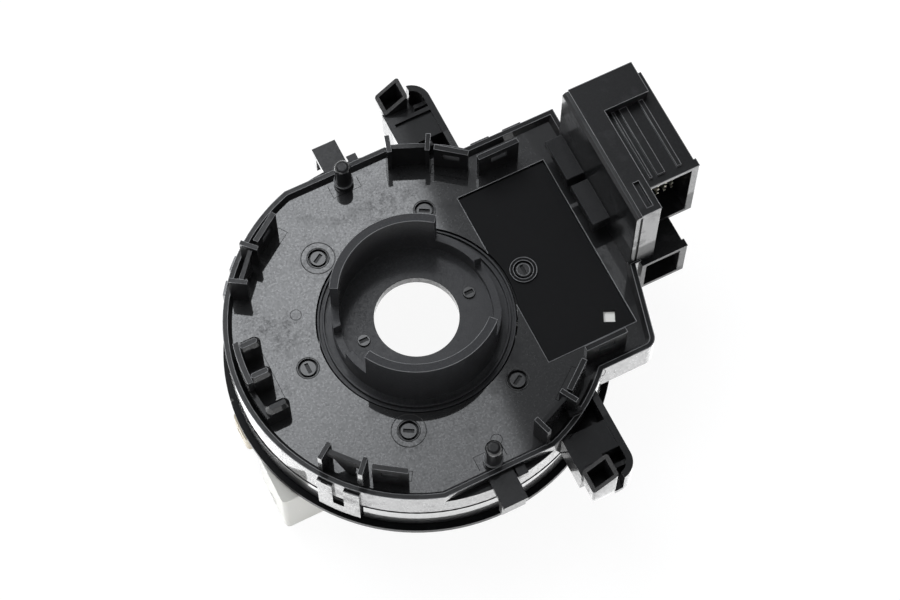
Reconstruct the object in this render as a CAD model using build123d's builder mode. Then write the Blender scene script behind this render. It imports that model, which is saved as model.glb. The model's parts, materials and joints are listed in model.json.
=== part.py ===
from build123d import *
import os
from math import cos, pi, radians, sin

os.makedirs("parts", exist_ok=True)

# Steering clock spring: a fixed case on the steering column carries the vehicle's two
# plugs, and a rotor turns inside it with the steering wheel.  A flat cable wound between
# them joins the circuits.  Z is the steering shaft's axis.  Z = 0 is the wheel-side face
# of the rotor disc, and +Z points down the column, away from the driver.  +X points to
# the connector block.  All sizes are millimetres.

# ---------------------------------------------------------------- driving dimensions
# case
case_radius = 51.5
case_wall = 2.0
case_seam = 12.2            # height where the case meets the cable housing
plate_top = 21.5            # outer face of the case's end plate
plate_thickness = 2.5
flat_inset = 2.5            # how far the two flats are cut in from the round
flat_ledge_drop = 2.0       # depth of the ledge outside each flat below the plate's face
rim_height = 1.6
rim_foot = 2.3              # width of the rim where it meets the plate
rim_slope = 34.0            # lean of the rim's inner side, in degrees
opening_gap = 0.4           # between the collar and the opening in the plate
# sensor box, moulded in one with the case
box_root = 20.0
box_depth = 9.5             # how far the box stands out beyond the round
box_side = 39.0
box_near_side = -35.7
box_step_y = -12.5
box_step = 1.8
box_slant = 7.8
box_corner_round = 3.5
box_floor = 1.4
recess_start = 25.6
recess_inset = 9.0          # from the box's end to the recess
recess_half = 27.0
recess_depth = 1.6
lid_thickness = 1.0
window_start = 37.0
window_inset = 4.0
lid_gap = 0.3
port_angle = -25.5          # light port through the lid and the case, set square to the axis
port_inset = 0.6
port_length = 3.2
port_width = 3.4
lid_ring = 0.9
lid_ring_height = 0.5
edge_tab_places = (39.0, 48.8)
edge_tab_length = 5.6
edge_tab_reach = 1.2
edge_tab_thickness = 1.4
# locating pegs, end tabs and the small tab and bar beside them
peg_radius = 2.3
peg_height = 10.0
peg_foot = 0.3              # how far its foot, as high as the rim, stands out round it
peg_tip_round = 1.2
peg_inset = 4.0
tab_width = 7.0
tab_length = 8.0
tab_thickness = 1.6
tab_lip = 8.0
small_tab_x = 5.4
small_tab_width = 2.8
small_tab_length = 3.0
bar_x = 24.5
bar_y = 43.4
bar_length = 3.6
bar_width = 1.4
bar_height = 4.0
# clips standing on the rim, and slotted latch walls inside it
clip_angles = (66.5, 139.5, -66.5, -139.5)
clip_height = 10.5
clip_inset = 1.5            # from the case's round to the clip's outer end
clip_depth = 5.0
clip_bar = 1.2
clip_half_angle = 6.5
clip_wall_inset = 4.9
clip_wall_drop = 0.8
clip_beam = 2.8             # depth of the beam over the clip's window
tongue_top = 5.6
tongue_end = 2.4
tongue_lift = 0.8
latch_angles = (52.0, 124.5, -52.0, -124.5)
latch_inset = 5.1
latch_length = 9.4
latch_thickness = 1.4
latch_height = 9.5
latch_slot_length = 4.8
latch_slot_height = 2.4
latch_slot_place = 6.0
straight_latch_x = 40.0
straight_latch_y = 31.2
straight_latch_length = 12.0
wide_clip_inset = 2.3
wide_clip_shift = 0.3
wide_clip_length = 21.0
wide_clip_low = 5.0         # height of the lower half of its wall
finger_length = 6.6
finger_crown = 1.2          # height of its rounded top
finger_lean = 38.0
finger_width = 3.2
finger_heights = (7.5, 10.5, 10.5)
# mounting arms
arm_outer = 33.0
arm_inner = 18.5
arm_root = 43.0
arm_reach = 13.0            # how far the arms stand out beyond the round
arm_shoulder_inset = 5.4
arm_lip = 1.2               # raised strip between the web and the tip
arm_tip_round = 5.5
arm_wall = 1.8
arm_floor = 1.6
arm_web = 2.0
arm_web_drop = 1.0
pocket_near = 38.0
pocket_far_inset = 1.5
tip_pocket_depth = 8.5      # along the arm, from its end
tip_slot = 2.3              # open slot beside the hook box
tip_rib = 1.2
tip_rib_drop = 4.0
hook_x = 22.5
hook_inset = 2.9
hook_length = 7.2
hook_width = 6.8
hook_slope = 5.5            # fall of its top towards -X
hook_round = 0.8
hook_rise = 6.0
hook_shoulder_drop = 4.5
hook_bottom_drop = 11.0
hook_taper = 12.0
hook_wall = 1.0
# pads below the two outer clips
pad_angles = (139.5, -139.5)
pad_thickness = 0.9
pad_width = 12.0
pad_slot_width = 3.2
pad_slot_lift = 5.0
pad_slot_height = 11.9
# cable housing
housing_step = 0.1          # how far its ring stands in from the case's round
housing_wall = 1.6
housing_bottom = 3.4
partition = 1.2
# rotor
rotor_flange = 1.6          # how far the rotor disc stands out beyond the case
rotor_thickness = 2.6
sleeve_gap = 0.4            # from the cancel cam to the rotor's sleeve
sleeve_wall = 2.4
labyrinth_height = 2.2
labyrinth_wall = 1.4
rotor_edge = 0.8
rotor_notch_angle = 171.0
rotor_notch = 0.8
run_gap = 0.4               # running gap between the rotor and fixed pieces
# cancel cam
shaft_bore = 11.4
bore_wall = 1.8
bore_depth = 3.0
cam_outer = 22.6
cam_wall = 2.2
cam_floor_lift = 1.0        # of the cup's floor above the plate
cam_floor = 2.0
cam_low_lift = 6.5
cam_gap_lift = 2.5
collar_width = 4.0
collar_thickness = 1.8
collar_drop = 0.3
collar_groove = 1.1
collar_ring = 0.55
collar_ring_gap = 0.85
# start, sweep and height above the plate of each raised cam; start and sweep of each gap
cam_lobes = ((50.0, 101.0, 17.5), (-152.0, 105.0, 17.5))
cam_gaps = ((168.0, 20.0), (-25.0, 39.0))
# gears of the angle sensor
drive_rim = 3.8             # from the cancel cam to the drive gear's pitch circle
drive_teeth = 66
gear_a_teeth = 24
gear_b_teeth = 26
gear_thickness = 3.0
gear_lift = 0.5
gear_angle = 5 * 360 / drive_teeth
tooth_flank = 20.0
tooth_backlash = 0.3
tooth_addendum = 0.85
tooth_dedendum = 1.15
tooth_root_depth = 0.3
axle_radius = 1.5
axle_gap = 0.05
axle_height = 2.8
magnet_radius = 3.2
magnet_height = 1.0
magnet_rim = 0.9
# sensor board
board_thickness = 1.4
board_margin = 1.4
chip_size = 4.4
chip_height = 0.7
# screws
screw_count = 6
screw_inset = 5.0           # from the opening in the plate to the screw circle
screw_head = 2.1
screw_head_height = 1.1
screw_recess = 2.75
screw_shank = 1.2
screw_slot = 1.0
screw_slot_share = 1.4      # length of the slot over the head's radius
screw_sink = 0.15
screw_length = 6.0
boss_radius = 2.6
hub_boss_radius = 2.1
hub_boss_gap = 0.3
hub_screw_head = 1.7
hub_screw_height = 0.6
hub_web = 3.0
# flat cable
cable_lead = 2.6            # from the rotor's sleeve to the first turn
cable_outer = 46.8
cable_turns = 3
cable_thickness = 0.35
cable_gap = 0.4
holder_length = 12.0
holder_gap = 0.6
partition_gap = 0.6         # between the rotor's sleeve and the partition
# connector block and the two plug shrouds on it
block_inset = 3.2
block_width = 7.4
block_low_y = -12.0
block_high_y = 29.4
block_height = 29.5
block_wall = 1.6
block_edge = 0.8
block_strip = 1.7
block_strip_depth = 0.5
block_slot_inset = 2.6
block_slot_y = -6.4
block_slot_length = 8.0
block_slot_width = 1.8
block_slot_depth = 1.1
block_seam = 0.5
head_length = 13.2
head_low_y = 19.7
head_height = 4.0
rail_length = 13.0
rail_gap = 2.0
rail_width = 5.2
rail_height = 2.6
rail_lift = 5.9
rail_inset = 1.5
rail_stop = 2.0
rail_stop_height = 4.4
shroud_wall = 1.5
upper_length = 15.3
upper_mouth_y = -4.0
upper_back_y = 27.4
lower_length = 13.2
lower_mouth_y = -13.5
lower_back_y = 18.0
lower_depth = 15.0
lip_height = 0.7
lip_length = 2.2
shroud_rib_height = 0.8
socket_depth = 16.0
terminal_size = 0.64
terminal_length = 11.0
terminal_pitch = 2.2
# wheel-side connectors
front_wall = 1.3
front_base = 2.0
front_slot_length = 3.6
front_slot_height = 1.8
front_slot_lift = 2.2
airbag_length = 16.0
airbag_width = 17.0
airbag_depth = 20.0
airbag_x = -44.0
airbag_y = -15.5
switch_length = 14.0
switch_width = 9.0
switch_depth = 7.0
switch_x = -46.4
switch_y = 1.0

# ---------------------------------------------------------------- derived places
plate_bottom = plate_top - plate_thickness
rim_top = plate_top + rim_height
flat_ledge = plate_top - flat_ledge_drop
case_flat = case_radius - flat_inset
case_inner = case_radius - case_wall
box_reach = case_radius + box_depth
box_step_x = box_reach - box_step
box_corner_x = box_reach - box_slant
recess_end = box_reach - recess_inset
recess_floor = plate_top - recess_depth
lid_top = recess_floor + lid_thickness
port_radius = recess_end - port_inset
peg_place = case_flat - peg_inset
tab_reach = case_flat + tab_length
clip_outer = case_radius - clip_inset
clip_inner = clip_outer - clip_depth
clip_wall_radius = case_radius - clip_wall_inset
latch_radius = case_radius - latch_inset
wide_clip_radius = case_radius - wide_clip_inset
arm_tip = case_radius + arm_reach
arm_shoulder = arm_tip - arm_shoulder_inset
arm_bottom = case_seam
arm_neck = hook_x + hook_length / 2
pocket_far = case_flat - pocket_far_inset
tip_pocket_start = arm_tip - tip_pocket_depth
hook_y = arm_tip - hook_inset
hook_top = plate_top + hook_rise
hook_shoulder = plate_top - hook_shoulder_drop
hook_bottom = plate_top - hook_bottom_drop
housing_radius = case_radius - housing_step
housing_inner = housing_radius - housing_wall
pad_bottom = housing_bottom + housing_wall - run_gap
gear_bottom = case_seam + gear_lift
gear_top = gear_bottom + gear_thickness
partition_bottom = case_seam - partition
rotor_radius = case_radius + rotor_flange
rotor_sleeve = cam_outer + sleeve_gap
sleeve_inner = rotor_sleeve - sleeve_wall
labyrinth_radius = housing_inner - run_gap
cam_floor_top = plate_top + cam_floor_lift
cam_floor_bottom = cam_floor_top - cam_floor
cam_low_top = plate_top + cam_low_lift
collar_radius = cam_outer + collar_width
collar_top = plate_top - collar_drop
hub_opening = collar_radius + opening_gap
screw_circle = hub_opening + screw_inset
hub_screw_place = shaft_bore + bore_wall + hub_boss_radius + hub_boss_gap
cable_inner = rotor_sleeve + cable_lead
cable_bottom = rotor_thickness + cable_gap
cable_top = partition_bottom - cable_gap
drive_radius = cam_outer + drive_rim
gear_module = 2 * drive_radius / drive_teeth
tooth_pitch = pi * gear_module
block_start = box_reach - block_inset
block_end = block_start + block_width
block_top = plate_top + block_height
head_reach = block_end + head_length
head_bottom = block_top - head_height
rail_bottom = plate_top + rail_lift
upper_reach = block_end + upper_length
lower_reach = box_reach + lower_length
lower_bottom = plate_top - lower_depth
# centres of the two sensor gears, one on each side of +X
gear_places = [
    (
        (drive_radius + gear_module * teeth / 2) * cos(radians(side * gear_angle)),
        (drive_radius + gear_module * teeth / 2) * sin(radians(side * gear_angle)),
    )
    for side, teeth in ((1, gear_a_teeth), (-1, gear_b_teeth))
]


def box_outline():
    """Plan of the sensor box, from inside the round case out to the block."""
    with BuildSketch() as outline:
        with BuildLine():
            Polyline(
                (box_root, box_side),
                (box_reach, box_side),
                (box_reach, box_step_y),
                (box_step_x, box_step_y),
                (box_corner_x, box_near_side),
                (box_root, box_near_side),
                close=True,
            )
        make_face()
        corner = outline.vertices().sort_by_distance((box_corner_x, box_near_side))[0]
        fillet(corner, box_corner_round)
    return outline.sketch


def arm_outline(side):
    """Plan of one mounting arm, from the drum's wall to the tip."""
    with BuildSketch() as outline:
        with BuildLine():
            Polyline(
                (arm_outer, side * pocket_near),
                (arm_outer, side * arm_tip),
                (arm_neck, side * arm_tip),
                (arm_neck, side * arm_shoulder),
                (arm_inner, side * arm_shoulder),
                (arm_inner, side * arm_root),
                close=True,
            )
        make_face()
        fillet(outline.vertices().sort_by_distance((arm_outer, side * arm_tip))[0], arm_tip_round)
        Circle(case_radius - case_wall / 2, mode=Mode.SUBTRACT)
    return outline.sketch


def case_outline(flats):
    """Plan of the whole case: the round drum, cut by the two flats or not, and the box."""
    with BuildSketch() as outline:
        Circle(case_radius)
        if flats:
            Rectangle(4 * case_radius, 2 * case_flat, mode=Mode.INTERSECT)
        add(box_outline())
    return outline.sketch


def gear_profile(teeth, bore):
    """Plan of a spur gear with its first tooth on +X."""
    pitch_radius = gear_module * teeth / 2
    root_radius = pitch_radius - tooth_dedendum * gear_module
    tip_radius = pitch_radius + tooth_addendum * gear_module
    slope = sin(radians(tooth_flank)) / cos(radians(tooth_flank))
    half_pitch_width = (tooth_pitch / 2 - tooth_backlash) / 2
    half_tip = half_pitch_width - (tip_radius - pitch_radius) * slope
    half_root = half_pitch_width + (pitch_radius - root_radius) * slope
    with BuildSketch() as profile:
        Circle(root_radius)
        with PolarLocations(0, teeth):
            with BuildLine():
                Polyline(
                    (root_radius - tooth_root_depth, -half_root),
                    (tip_radius, -half_tip),
                    (tip_radius, half_tip),
                    (root_radius - tooth_root_depth, half_root),
                    close=True,
                )
            make_face()
        Circle(bore, mode=Mode.SUBTRACT)
    return profile.sketch


def wall_plane(radius, angle):
    """Upright plane square to the radius: X runs along the wall and Y is the height."""
    outwards = (cos(radians(angle)), sin(radians(angle)), 0)
    along = (-sin(radians(angle)), cos(radians(angle)), 0)
    return Plane(origin=Vector(outwards) * radius, x_dir=along, z_dir=outwards)


def polar(radius, angle, height=0.0):
    """Location at a radius and angle, turned so that its X axis points outwards."""
    place = (radius * cos(radians(angle)), radius * sin(radians(angle)), height)
    return Location(place, (0, 0, angle))


# ---------------------------------------------------------------- rear case
with BuildPart() as rear_case:
    # drum and box as solid outlines, hollowed from the wheel side
    with BuildSketch(Plane.XY.offset(case_seam)):
        add(case_outline(flats=False))
    extrude(amount=flat_ledge - case_seam)
    with BuildSketch(Plane.XY.offset(flat_ledge)):
        add(case_outline(flats=True))
    extrude(amount=rim_top - flat_ledge)
    with BuildSketch(Plane.XY.offset(plate_top)):
        offset(case_outline(flats=True), -rim_foot, kind=Kind.INTERSECTION)
    extrude(amount=rim_height, taper=-rim_slope, mode=Mode.SUBTRACT)
    with BuildSketch(Plane.XY.offset(case_seam)):
        Circle(case_inner)
        for gear_place, teeth in zip(gear_places, (gear_a_teeth, gear_b_teeth)):
            with Locations(gear_place):
                Circle(gear_module * (teeth / 2 + 1) + run_gap)
    extrude(amount=plate_bottom - case_seam, mode=Mode.SUBTRACT)
    with BuildSketch(Plane.XY.offset(case_seam + box_floor)):
        offset(box_outline(), -case_wall, kind=Kind.INTERSECTION)
    extrude(amount=plate_bottom - case_seam - box_floor, mode=Mode.SUBTRACT)
    # opening for the cancel cam, sensor recess and the window under its lid
    with BuildSketch(Plane.XY.offset(plate_bottom)):
        Circle(hub_opening)
    extrude(amount=plate_thickness, mode=Mode.SUBTRACT)
    with BuildSketch(Plane.XY.offset(recess_floor)):
        with Locations(((recess_start + recess_end) / 2, 0)):
            Rectangle(recess_end - recess_start, 2 * recess_half)
    extrude(amount=recess_depth, mode=Mode.SUBTRACT)
    with BuildSketch(Plane.XY.offset(plate_bottom)):
        with Locations(((window_start + recess_end - window_inset / 2) / 2, 0)):
            Rectangle(recess_end - window_inset / 2 - window_start, 2 * (recess_half - window_inset))
    extrude(amount=plate_thickness, mode=Mode.SUBTRACT)
    with BuildSketch(Plane.XY.offset(case_seam)):
        with Locations(polar(port_radius, port_angle)):
            Rectangle(port_length, port_width)
    extrude(amount=rim_top - case_seam, mode=Mode.SUBTRACT)
    # the block stands where the rim would cross its foot
    with BuildSketch(Plane.XY.offset(plate_top)):
        with Locations(((block_start + box_reach) / 2, (block_low_y + block_high_y) / 2)):
            Rectangle(box_reach - block_start, block_high_y - block_low_y)
    extrude(amount=rim_height, mode=Mode.SUBTRACT)
    # screw recesses in the plate
    with PolarLocations(screw_circle, screw_count):
        with Locations((0, 0, plate_top - screw_head_height)):
            Cylinder(
                screw_recess,
                plate_thickness,
                align=(Align.CENTER, Align.CENTER, Align.MIN),
                mode=Mode.SUBTRACT,
            )
            Cylinder(screw_shank + axle_gap, 4 * plate_thickness, mode=Mode.SUBTRACT)
    # locating pegs, one on each side, each on a short foot and with a rounded tip
    for side in (1, -1):
        with BuildSketch(Plane.XY.offset(plate_top)):
            with Locations((0, side * peg_place)):
                Circle(peg_radius + peg_foot)
        extrude(amount=rim_height)
        with BuildSketch(Plane.XY.offset(rim_top)):
            with Locations((0, side * peg_place)):
                Circle(peg_radius)
        extrude(amount=peg_height - rim_height)
        fillet(edges(Select.LAST).filter_by(GeomType.CIRCLE).group_by(Axis.Z)[-1], peg_tip_round)
    # flat end tabs with a lip turned down
    for side in (1, -1):
        with BuildSketch(Plane.XY.offset(plate_top - tab_thickness)):
            with Locations((0, side * (case_flat + tab_reach) / 2)):
                Rectangle(tab_width, tab_reach - case_flat + rim_foot)
        extrude(amount=tab_thickness)
        with BuildSketch(Plane.XY.offset(plate_top - tab_lip)):
            with Locations((0, side * (tab_reach - tab_thickness / 2))):
                Rectangle(tab_width, tab_thickness)
        extrude(amount=tab_lip)
    # small flat tab beside each end tab, and a short bar beside each straight latch
    for side in (1, -1):
        with BuildSketch(Plane.XY.offset(flat_ledge)):
            with Locations((small_tab_x, side * (case_flat + small_tab_length / 2 - rim_foot / 2))):
                Rectangle(small_tab_width, small_tab_length + rim_foot)
        extrude(amount=plate_top - flat_ledge)
        with Locations((bar_x, side * bar_y, plate_top)):
            Box(bar_length, bar_width, bar_height, align=(Align.CENTER, Align.CENTER, Align.MIN))
    # flat tabs on the box's long edge
    for tab_x in edge_tab_places:
        with Locations((tab_x, box_side, plate_top - edge_tab_thickness)):
            Box(
                edge_tab_length,
                2 * edge_tab_reach,
                edge_tab_thickness,
                align=(Align.CENTER, Align.CENTER, Align.MIN),
            )
    # clips standing on the rim: two radial bars joined by a wall
    for clip_angle in clip_angles:
        for half in (-clip_half_angle, clip_half_angle):
            with Locations(polar((clip_inner + clip_outer) / 2, clip_angle + half, plate_top)):
                Box(
                    clip_outer - clip_inner,
                    clip_bar,
                    clip_height,
                    align=(Align.CENTER, Align.CENTER, Align.MIN),
                )
        with Locations(polar(clip_wall_radius, clip_angle, plate_top)):
            Box(
                clip_bar,
                2 * clip_wall_radius * sin(radians(clip_half_angle)),
                clip_height - clip_wall_drop,
                align=(Align.CENTER, Align.CENTER, Align.MIN),
            )
    # window in the wall of each clip that stands on a pad, with a tongue hanging in it
    window_width = 2 * clip_wall_radius * sin(radians(clip_half_angle)) - clip_bar
    window_height = clip_height - clip_wall_drop - clip_beam
    for pad_angle in pad_angles:
        side = 1 if pad_angle > 0 else -1
        with BuildSketch(wall_plane(clip_wall_radius, pad_angle)):
            with Locations((0, plate_top + window_height / 2)):
                Rectangle(window_width, window_height)
            with BuildLine():
                Polyline(
                    (-side * tongue_top / 2, plate_top + window_height),
                    (-side * tongue_top / 2, plate_top + tongue_lift),
                    (-side * (tongue_top / 2 - tongue_end), plate_top + tongue_lift),
                    (side * tongue_top / 2, plate_top + window_height),
                    close=True,
                )
            make_face(mode=Mode.SUBTRACT)
        extrude(amount=clip_bar, both=True, mode=Mode.SUBTRACT)
    # slotted latch walls inside the rim
    for latch_angle in latch_angles:
        with Locations(polar(latch_radius, latch_angle, plate_top)):
            Box(
                latch_thickness,
                latch_length,
                latch_height,
                align=(Align.CENTER, Align.CENTER, Align.MIN),
            )
        with Locations(polar(latch_radius, latch_angle, plate_top + latch_slot_place)):
            Box(2 * latch_thickness, latch_slot_length, latch_slot_height, mode=Mode.SUBTRACT)
    # straight latch walls beside the recess
    for side in (1, -1):
        with Locations((straight_latch_x, side * straight_latch_y, plate_top)):
            Box(
                straight_latch_length,
                latch_thickness,
                latch_height,
                align=(Align.CENTER, Align.CENTER, Align.MIN),
            )
        with Locations((straight_latch_x, side * straight_latch_y, plate_top + latch_slot_place)):
            Box(latch_slot_length, 2 * latch_thickness, latch_slot_height, mode=Mode.SUBTRACT)
    # wide clip opposite the box: a curved wall, high over half its length, with three rounded
    # fingers pointing inwards
    for wall_length, wall_height in (
        (wide_clip_length, wide_clip_low),
        (wide_clip_length / 2 + finger_width / 2, clip_height),
    ):
        with BuildSketch(Plane.XY.offset(plate_top)):
            Circle(wide_clip_radius)
            Circle(wide_clip_radius - latch_thickness, mode=Mode.SUBTRACT)
            with Locations((-wide_clip_radius, wide_clip_shift + (wide_clip_length - wall_length) / 2)):
                Rectangle(wide_clip_radius, wall_length, mode=Mode.INTERSECT)
        extrude(amount=wall_height)
    for step, finger_height in zip((-1, 0, 1), finger_heights):
        with BuildSketch(Plane.XY.offset(plate_top)):
            finger_y = wide_clip_shift + step * (wide_clip_length - finger_width) / 2
            finger_root = -((wide_clip_radius - latch_thickness / 2) ** 2 - finger_y**2) ** 0.5
            with Locations((finger_root + finger_length / 2, finger_y)):
                SlotOverall(finger_length, finger_width)
        extrude(amount=finger_height - finger_crown)
        with BuildSketch(Plane.XY.offset(plate_top + finger_height - finger_crown)):
            with Locations((finger_root + finger_length / 2, finger_y)):
                SlotOverall(finger_length, finger_width)
        extrude(amount=finger_crown, taper=finger_lean)
    # mounting arms: a sunk web between standing walls, a three-cornered pocket beside the
    # drum, a deep pocket at the tip, and an open hook box on a tapered foot
    for side in (1, -1):
        with BuildSketch(Plane.XY.offset(arm_bottom)):
            add(arm_outline(side))
        extrude(amount=plate_top - arm_bottom)
        with BuildSketch(Plane.XY.offset(plate_top - arm_web_drop)):
            offset(arm_outline(side), -arm_wall, kind=Kind.INTERSECTION)
        extrude(amount=arm_web_drop, mode=Mode.SUBTRACT)
        with BuildSketch(Plane.XY.offset(arm_bottom + arm_floor)):
            with BuildLine():
                Polyline(
                    (arm_outer - arm_wall, side * pocket_near),
                    (arm_outer - arm_wall, side * pocket_far),
                    (arm_inner + arm_wall, side * pocket_far),
                    close=True,
                )
            make_face()
            Circle(case_radius, mode=Mode.SUBTRACT)
        extrude(amount=plate_top - arm_bottom - arm_floor, mode=Mode.SUBTRACT)
        # raised strip at the end of the web, and the tip pocket with its slot and cross rib
        with Locations(((arm_inner + arm_outer) / 2, side * tip_pocket_start, arm_bottom)):
            Box(
                arm_outer - arm_inner - arm_wall,
                2 * arm_lip,
                plate_top - arm_bottom,
                align=(Align.CENTER, Align.CENTER, Align.MIN),
            )
        with BuildSketch(Plane.XY.offset(arm_bottom + arm_floor)):
            offset(arm_outline(side), -arm_wall, kind=Kind.INTERSECTION)
            with Locations(((arm_neck + arm_outer) / 2, side * (tip_pocket_start + arm_tip) / 2)):
                Rectangle(arm_outer - arm_neck, arm_tip - tip_pocket_start, mode=Mode.INTERSECT)
            with Locations((arm_neck + tip_slot / 2, side * (tip_pocket_start + arm_tip) / 2)):
                Rectangle(tip_slot, arm_tip - tip_pocket_start)
        extrude(amount=plate_top - arm_bottom - arm_floor, mode=Mode.SUBTRACT)
        tip_rib_y = side * (tip_pocket_start + arm_tip - arm_wall) / 2
        with Locations(((arm_neck + tip_slot + arm_outer) / 2, tip_rib_y, arm_bottom)):
            Box(
                arm_outer - arm_neck - tip_slot,
                tip_rib,
                plate_top - tip_rib_drop - arm_bottom,
                align=(Align.CENTER, Align.CENTER, Align.MIN),
            )
        # hollow below the web
        with BuildSketch(Plane.XY.offset(arm_bottom)):
            web_length = tip_pocket_start - pocket_far - 2 * arm_wall
            with Locations(((arm_inner + arm_outer) / 2, side * (pocket_far + tip_pocket_start) / 2)):
                Rectangle(arm_outer - arm_inner - 2 * arm_wall, web_length)
            Circle(case_radius + arm_wall, mode=Mode.SUBTRACT)
        extrude(amount=plate_top - arm_bottom - arm_web_drop - arm_web, mode=Mode.SUBTRACT)
        # hook box with a sloping top
        hook_place = Location((hook_x, side * hook_y, hook_shoulder))
        with BuildSketch(Plane(hook_place)):
            RectangleRounded(hook_length, hook_width, hook_round)
        extrude(amount=hook_top - hook_shoulder)
        with BuildSketch(Plane(hook_place)):
            RectangleRounded(hook_length, hook_width, hook_round)
        extrude(amount=-(hook_shoulder - hook_bottom), taper=hook_taper)
        with BuildSketch(Plane(hook_place)):
            Rectangle(hook_length - 2 * hook_wall, hook_width - 2 * hook_wall)
        extrude(amount=hook_top - hook_shoulder, mode=Mode.SUBTRACT)
        with BuildSketch(Plane.XZ.offset(-side * hook_y)):
            with BuildLine():
                Polyline(
                    (hook_x + hook_length / 2, hook_top),
                    (hook_x - hook_length / 2 - hook_wall, hook_top),
                    (hook_x - hook_length / 2 - hook_wall, hook_top - hook_slope),
                    (hook_x - hook_length / 2, hook_top - hook_slope),
                    close=True,
                )
            make_face()
        extrude(amount=hook_width / 2 + hook_wall, both=True, mode=Mode.SUBTRACT)
    # pads that carry the outer clips down over the cable housing
    for pad_angle in pad_angles:
        with BuildSketch(Plane.XY.offset(pad_bottom)):
            Circle(case_radius + pad_thickness)
            Circle(case_radius - pad_thickness / 4, mode=Mode.SUBTRACT)
            with Locations(polar(case_radius, pad_angle)):
                Rectangle(case_radius / 2, pad_width, mode=Mode.INTERSECT)
        extrude(amount=plate_top - pad_bottom)
        with BuildSketch(Plane.XY.offset(pad_bottom + pad_slot_lift)):
            with Locations(polar(case_radius + pad_thickness, pad_angle)):
                Rectangle(2 * pad_thickness, pad_slot_width)
        extrude(amount=pad_slot_height, mode=Mode.SUBTRACT)
rear_case.part.label = "rear_case"
export_step(rear_case.part, "parts/rear_case.step")

# ---------------------------------------------------------------- cable housing
with BuildPart() as cable_housing:
    # ring wall with the partition over the cable chamber
    with BuildSketch(Plane.XY.offset(housing_bottom)):
        Circle(housing_radius)
        Circle(housing_inner, mode=Mode.SUBTRACT)
    extrude(amount=case_seam - housing_bottom)
    with BuildSketch(Plane.XY.offset(partition_bottom)):
        Circle(housing_radius)
        Circle(rotor_sleeve + partition_gap, mode=Mode.SUBTRACT)
    extrude(amount=partition)
    # screw bosses up to the case's plate
    with BuildSketch(Plane.XY.offset(case_seam)):
        with PolarLocations(screw_circle, screw_count):
            Circle(boss_radius)
            Circle(screw_shank, mode=Mode.SUBTRACT)
    extrude(amount=plate_bottom - case_seam)
    # fixed axles of the two sensor gears
    for axle in gear_places:
        with BuildSketch(Plane.XY.offset(case_seam)):
            with Locations(axle):
                Circle(axle_radius + gear_lift)
        extrude(amount=gear_lift)
        with BuildSketch(Plane.XY.offset(case_seam)):
            with Locations(axle):
                Circle(axle_radius)
        extrude(amount=gear_lift + axle_height)
    # pads of the case reach down over the ring
    for pad_angle in pad_angles:
        with BuildSketch(Plane.XY.offset(housing_bottom)):
            with Locations(polar(housing_radius, pad_angle)):
                Rectangle(2 * pad_thickness, pad_width + 2 * run_gap)
        extrude(amount=case_seam - housing_bottom, mode=Mode.SUBTRACT)
cable_housing.part.label = "cable_housing"
export_step(cable_housing.part, "parts/cable_housing.step")

# ---------------------------------------------------------------- sensor lid
with BuildPart() as sensor_lid:
    with BuildSketch(Plane.XY.offset(recess_floor)):
        with Locations(((recess_start + recess_end) / 2, 0)):
            Rectangle(recess_end - recess_start - 2 * lid_gap, 2 * (recess_half - lid_gap))
        Circle(hub_opening + lid_gap, mode=Mode.SUBTRACT)
        with Locations((screw_circle, 0)):
            Circle(screw_recess, mode=Mode.SUBTRACT)
        with Locations(polar(port_radius, port_angle)):
            Rectangle(port_length, port_width, mode=Mode.SUBTRACT)
    extrude(amount=lid_thickness)
    # raised ring round the screw
    with BuildSketch(Plane.XY.offset(lid_top)):
        with Locations((screw_circle, 0)):
            Circle(screw_recess + lid_ring)
            Circle(screw_recess, mode=Mode.SUBTRACT)
    extrude(amount=lid_ring_height)
sensor_lid.part.label = "sensor_lid"
export_step(sensor_lid.part, "parts/sensor_lid.step")

# ---------------------------------------------------------------- sensor board and its chips
with BuildPart() as sensor_board:
    with BuildSketch(Plane.XY.offset(plate_bottom - board_thickness)):
        with Locations(((recess_start + recess_end) / 2, 0)):
            Rectangle(recess_end - recess_start - 2 * board_margin, 2 * (recess_half - board_margin))
        Circle(hub_opening + board_margin, mode=Mode.SUBTRACT)
        with Locations((screw_circle, 0)):
            Circle(boss_radius + lid_gap, mode=Mode.SUBTRACT)
        Circle(case_inner - board_margin, mode=Mode.INTERSECT)
        with Locations(polar(port_radius, port_angle)):
            Rectangle(port_length + lid_gap, port_width + lid_gap, mode=Mode.SUBTRACT)
    extrude(amount=board_thickness)
sensor_board.part.label = "sensor_board"
export_step(sensor_board.part, "parts/sensor_board.step")

with BuildPart() as hall_sensors:
    for axle in gear_places:
        with BuildSketch(Plane.XY.offset(plate_bottom - board_thickness - chip_height)):
            with Locations(axle):
                Rectangle(chip_size, chip_size)
        extrude(amount=chip_height)
hall_sensors.part.label = "hall_sensors"
export_step(hall_sensors.part, "parts/hall_sensors.step")

# ---------------------------------------------------------------- case screws
with BuildPart() as case_screws:
    with PolarLocations(screw_circle, screw_count):
        with Locations((0, 0, plate_top - screw_head_height)):
            Cylinder(
                screw_head,
                screw_head_height - screw_sink,
                align=(Align.CENTER, Align.CENTER, Align.MIN),
            )
            Cylinder(
                screw_shank,
                screw_length,
                align=(Align.CENTER, Align.CENTER, Align.MAX),
            )
        with Locations((0, 0, plate_top - screw_sink)):
            Box(screw_slot, screw_slot_share * screw_head, screw_slot, mode=Mode.SUBTRACT)
case_screws.part.label = "case_screws"
export_step(case_screws.part, "parts/case_screws.step")

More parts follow.
